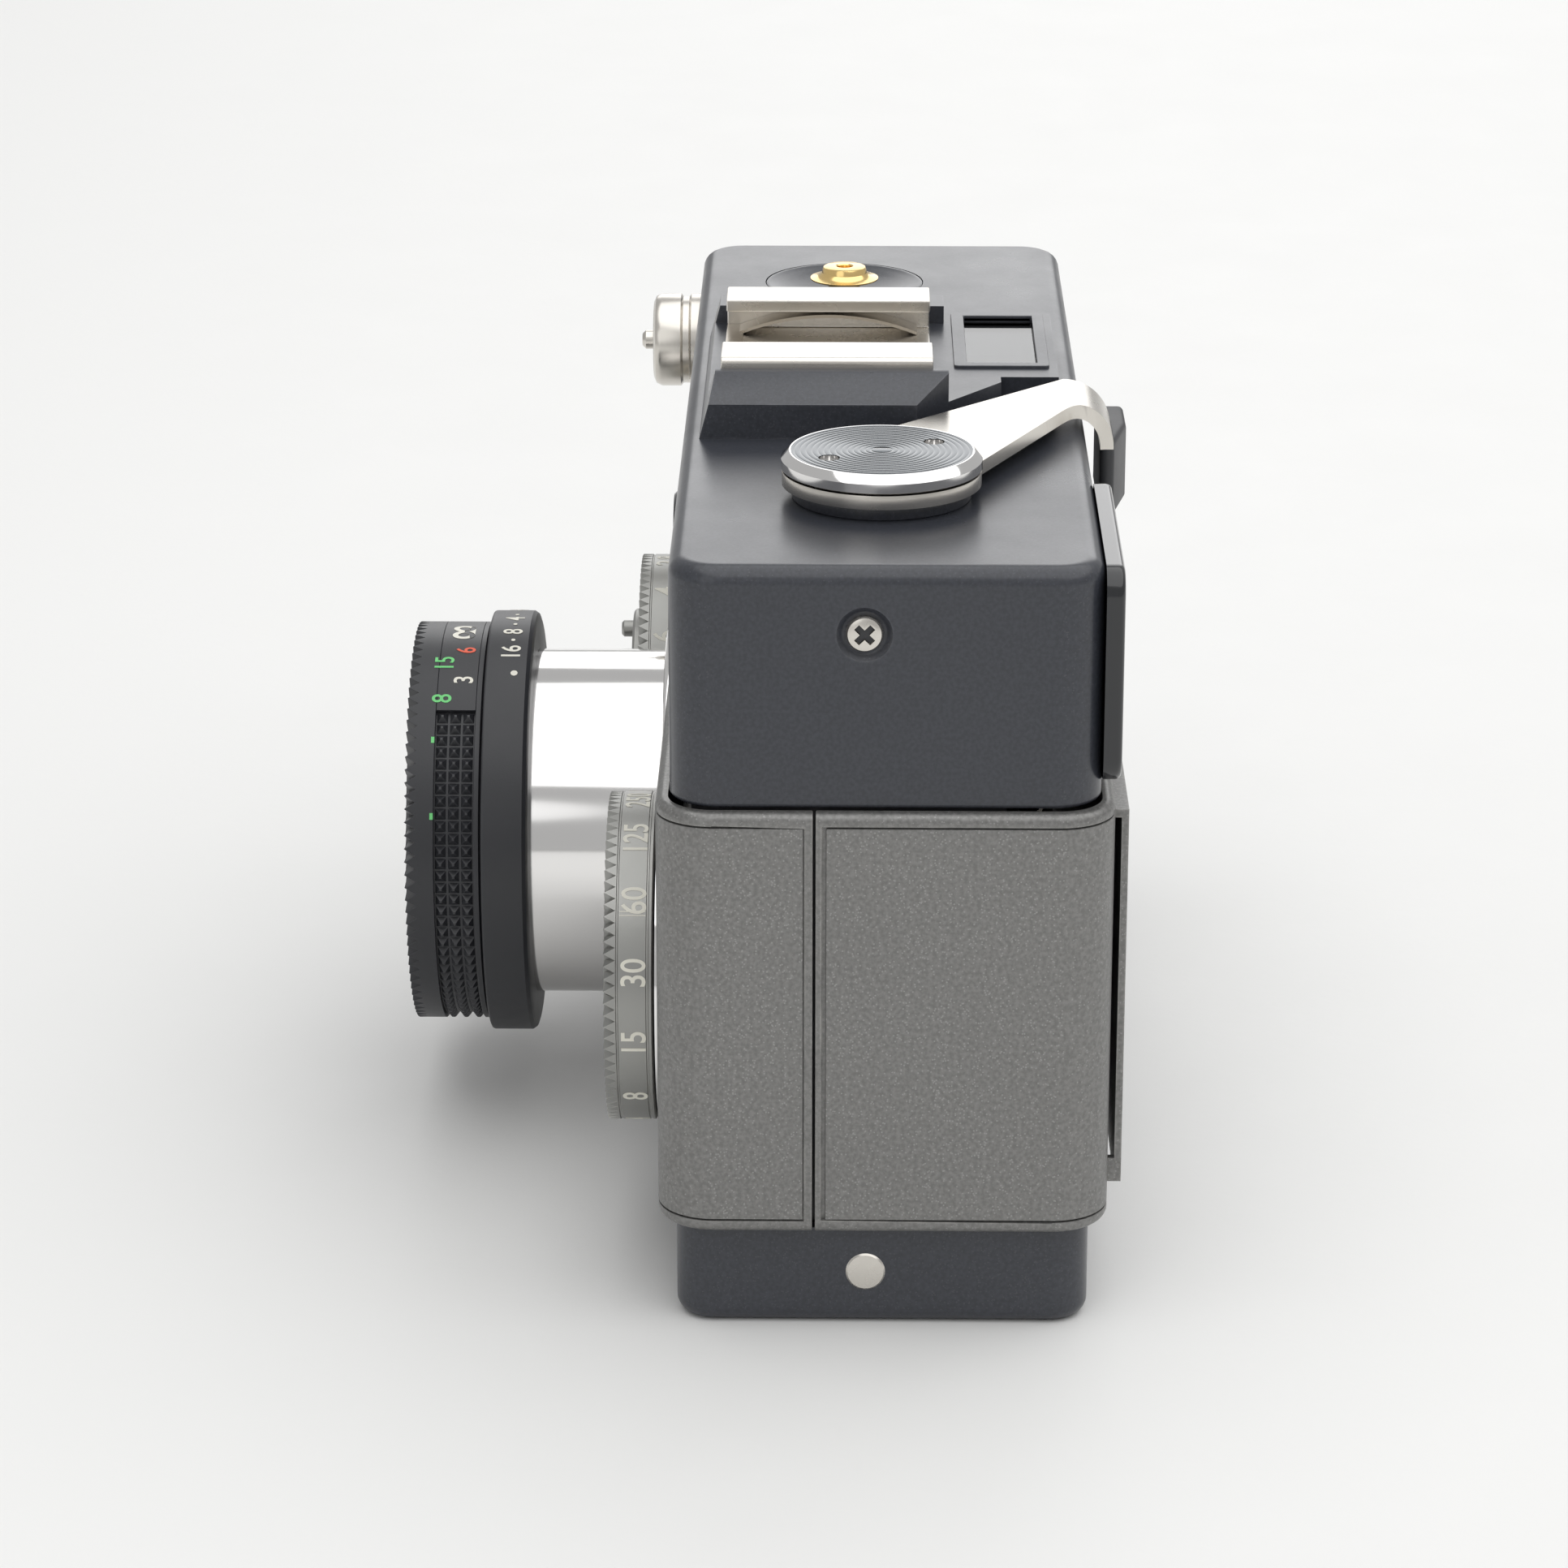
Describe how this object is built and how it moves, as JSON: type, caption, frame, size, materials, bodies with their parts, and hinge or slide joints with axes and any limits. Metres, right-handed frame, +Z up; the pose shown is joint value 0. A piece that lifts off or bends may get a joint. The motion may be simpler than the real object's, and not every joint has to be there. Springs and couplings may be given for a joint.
{
  "type": "compact film camera",
  "caption": "Pocket 35 mm film camera with a collapsible lens barrel, front dials, a top advance lever, an accessory shoe and a slide-off back.",
  "frame": {"origin": "mouth of the tripod socket, at the centre of the base", "axes": "+X to the viewer's left-hand end with the advance lever, -Y the way the lens looks, +Z up"},
  "size_m": [0.097, 0.0546, 0.0615],
  "materials": {
    "black_paint": "satin black enamel",
    "grey_paint": "warm grey metallic paint",
    "grey_skin": "fine grained grey metallic skin",
    "nickel": "satin nickel",
    "chrome": "polished chrome",
    "lens_black": "satin black anodised",
    "dial_grey": "satin grey anodised",
    "black_plastic": "matt black",
    "gloss_black": "glossy black",
    "glass": "clear coated glass",
    "gold": "polished brass",
    "cast_alloy": "blackened cast alloy",
    "steel": "machined steel",
    "spring_steel": "bright spring steel"
  },
  "bodies": {
    "root": {"top_plate": "black_paint", "top_plate_screws": "nickel", "shoe_deck": "black_paint", "accessory_shoe": "nickel", "shoe_spring": "spring_steel", "meter_window": "glass", "meter_scale": "black_plastic", "meter_movement": "black_plastic", "eyepiece_frame": "gloss_black", "eyepiece_glass": "glass", "finder_tunnel": "black_plastic", "finder_front_glass": "glass", "light_cell": "gloss_black", "sync_terminal": "nickel", "release_dish": "black_paint", "release_bracket": "steel", "lever_collar": "black_paint", "front_shell": "grey_paint", "front_panel": "grey_skin", "main_casting": "cast_alloy", "film_chambers": "cast_alloy", "bottom_cover": "black_paint", "base_studs": "nickel", "tripod_bush": "steel", "counter_window": "glass", "lens_flange": "chrome", "guide_tube": "cast_alloy", "speed_dial_seat": "chrome", "aperture_dial_seat": "gold"},
    "back": {"back_cover": "grey_paint", "back_panel": "grey_skin", "memo_holder": "grey_paint"},
    "lever": {"advance_lever": "nickel", "lever_thumb_pad": "black_plastic", "lever_cap": "chrome", "lever_shaft": "steel"},
    "release": {"release_button": "gold", "release_spring": "spring_steel"},
    "speed_dial": {"speed_dial": "dial_grey"},
    "aperture_dial": {"aperture_dial": "dial_grey"},
    "film_speed": {"film_speed_disc": "dial_grey"},
    "lens_carrier": {"barrel_key_ring": "steel"},
    "barrel": {"lens_barrel": "chrome", "depth_ring": "lens_black", "shutter_housing": "lens_black", "rear_element": "glass"},
    "blade_low": {"shutter_blade_low": "steel"},
    "blade_high": {"shutter_blade_high": "steel"},
    "focus": {"focus_ring": "lens_black"},
    "front_cell": {"front_bezel": "lens_black", "front_element": "glass"},
    "sprocket": {"film_sprocket": "black_plastic"},
    "spool": {"takeup_spool": "black_plastic"},
    "counter": {"counter_dial": "black_plastic"},
    "plate": {"pressure_plate": "steel", "pressure_spring": "spring_steel"},
    "rewind": {"rewind_shaft": "steel"},
    "crank": {"rewind_crank": "nickel"},
    "latch": {"back_latch": "nickel"},
    "needle": {"meter_needle": "gold"}
  },
  "joints": [
    {"name": "lever_swing", "type": "hinge", "parent": "root", "child": "lever", "pos_m": [0.0298, -0.0003, 0.0575], "axis": [0, 0, 1], "range_deg": [-130, 0], "stiffness_Nm_per_rad": 0.0008, "springref_deg": 14.32},
    {"name": "release_press", "type": "slide", "parent": "root", "child": "release", "axis": [0, 0, -1], "range_m": [0, 0.001], "stiffness_N_per_m": 600, "springref_m": -0.001, "deforming": ["release_spring"]},
    {"name": "speed_dial_turn", "type": "hinge", "parent": "root", "child": "speed_dial", "pos_m": [0.03, -0.018, 0.0215], "axis": [0, -1, 0], "range_deg": [0, 228]},
    {"name": "aperture_dial_turn", "type": "hinge", "parent": "root", "child": "aperture_dial", "pos_m": [-0.03, -0.018, 0.0215], "axis": [0, -1, 0], "range_deg": [-76, 76]},
    {"name": "film_speed_turn", "type": "hinge", "parent": "aperture_dial", "child": "film_speed", "pos_m": [-0.03, -0.0203, 0.0215], "axis": [0, -1, 0], "range_deg": [-60, 60]},
    {"name": "lens_collapse", "type": "slide", "parent": "root", "child": "lens_carrier", "axis": [0, 1, 0], "range_m": [0, 0.0093]},
    {"name": "barrel_twist", "type": "hinge", "parent": "lens_carrier", "child": "barrel", "pos_m": [0, -0.015, 0.0212], "axis": [0, 1, 0], "range_deg": [0, 30]},
    {"name": "focus_turn", "type": "hinge", "parent": "barrel", "child": "focus", "pos_m": [0, -0.033, 0.0212], "axis": [0, -1, 0], "range_deg": [0, 180]},
    {"name": "front_cell_creep", "type": "slide", "parent": "barrel", "child": "front_cell", "axis": [0, -1, 0], "range_m": [0, 0.0009]},
    {"name": "blade_low_swing", "type": "hinge", "parent": "barrel", "child": "blade_low", "pos_m": [0, -0.0265, 0.0119], "axis": [0, -1, 0], "range_deg": [0, 36], "stiffness_Nm_per_rad": 0.0001, "springref_deg": -28.65},
    {"name": "blade_high_swing", "type": "hinge", "parent": "barrel", "child": "blade_high", "pos_m": [0, -0.0265, 0.0305], "axis": [0, -1, 0], "range_deg": [0, 36]},
    {"name": "back_slide", "type": "slide", "parent": "root", "child": "back", "axis": [0, 0, -1], "range_m": [0, 0.045]},
    {"name": "plate_tilt", "type": "hinge", "parent": "root", "child": "plate", "pos_m": [0, 0.0098, 0.005], "axis": [-1, 0, 0], "range_deg": [0, 1.8], "stiffness_Nm_per_rad": 0.05, "springref_deg": -11.46},
    {"name": "rewind_turn", "type": "hinge", "parent": "root", "child": "rewind", "pos_m": [-0.0324, 0.001, 0.002], "axis": [0, 0, 1], "continuous": true},
    {"name": "crank_fold", "type": "hinge", "parent": "rewind", "child": "crank", "pos_m": [-0.0324, 0.001, 0.001], "axis": [0, 1, 0], "range_deg": [0, 120]},
    {"name": "latch_turn", "type": "hinge", "parent": "root", "child": "latch", "pos_m": [0.0375, -0.003, 0.001], "axis": [0, 0, 1], "range_deg": [0, 90]},
    {"name": "sprocket_turn", "type": "hinge", "parent": "root", "child": "sprocket", "pos_m": [0.0258, 0.00295, 0.02], "axis": [0, 0, 1], "range_deg": [-361, 0]},
    {"name": "spool_turn", "type": "hinge", "parent": "root", "child": "spool", "pos_m": [0.0386, 0.0026, 0.02], "axis": [0, 0, 1], "range_deg": [0, 261]},
    {"name": "counter_turn", "type": "hinge", "parent": "root", "child": "counter", "pos_m": [0.016, 0.0033, 0.002], "axis": [0, 0, 1], "range_deg": [0, 9.5]},
    {"name": "needle_swing", "type": "hinge", "parent": "root", "child": "needle", "pos_m": [-0.00635, 0.002, 0.054], "axis": [0, 0, 1], "range_deg": [-25, 25], "stiffness_Nm_per_rad": 0.000005}
  ],
  "couplings": [
    {"joint": "front_cell_creep", "follows": "focus_turn", "m_per_rad": 0.000285},
    {"joint": "blade_high_swing", "follows": "blade_low_swing", "ratio": 1},
    {"joint": "sprocket_turn", "follows": "lever_swing", "ratio": 2.7692},
    {"joint": "spool_turn", "follows": "lever_swing", "ratio": -2},
    {"joint": "counter_turn", "follows": "lever_swing", "ratio": -0.069}
  ]
}
